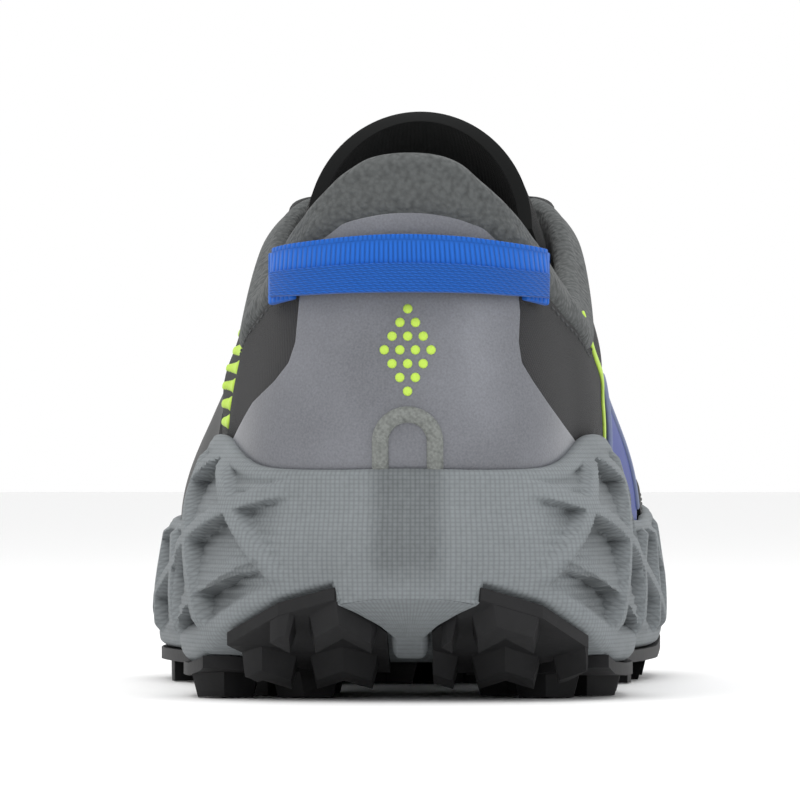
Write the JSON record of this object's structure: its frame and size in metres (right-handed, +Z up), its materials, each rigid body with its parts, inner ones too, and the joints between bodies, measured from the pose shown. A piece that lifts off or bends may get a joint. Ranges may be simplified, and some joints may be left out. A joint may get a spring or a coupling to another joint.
{
  "type": "trail running shoe",
  "caption": "Low-cut trail running shoe for the left foot with a lugged rubber outsole, ribbed foam midsole, padded collar, laced throat and a webbing pull tape across the heel.",
  "frame": {"origin": "middle of the shoe's length and width, on the floor that it stands on", "axes": "+Y towards the toe, +X towards the inner side of the left foot, +Z up"},
  "size_m": [0.1144, 0.2986, 0.1227],
  "materials": {
    "foam": "matte foam",
    "rubber": "matte",
    "foot_bed": "brushed cloth",
    "mesh": "ribbed textile",
    "crepe": "looped textile",
    "speckle": "satin with a fine speckle",
    "webbing": "ribbed webbing",
    "deep_blue": "smooth",
    "smooth_black": "satin",
    "lace": "flat woven"
  },
  "bodies": {
    "root": {"midsole": "foam", "outsole_forefoot": "rubber", "outsole_heel_inner": "rubber", "outsole_heel_outer": "rubber", "outsole_lobe_inner": "rubber", "outsole_lobe_outer": "rubber", "insole": "foot_bed", "upper": "mesh", "collar_cuff": "crepe", "tongue": "smooth_black", "heel_counter": "speckle", "toe_cap": "smooth_black", "inner_panel": "deep_blue", "outer_panel": "smooth_black", "eyestay": "smooth_black", "heel_tape": "webbing", "heel_trim": "crepe", "lace": "lace"}
  },
  "joints": []
}
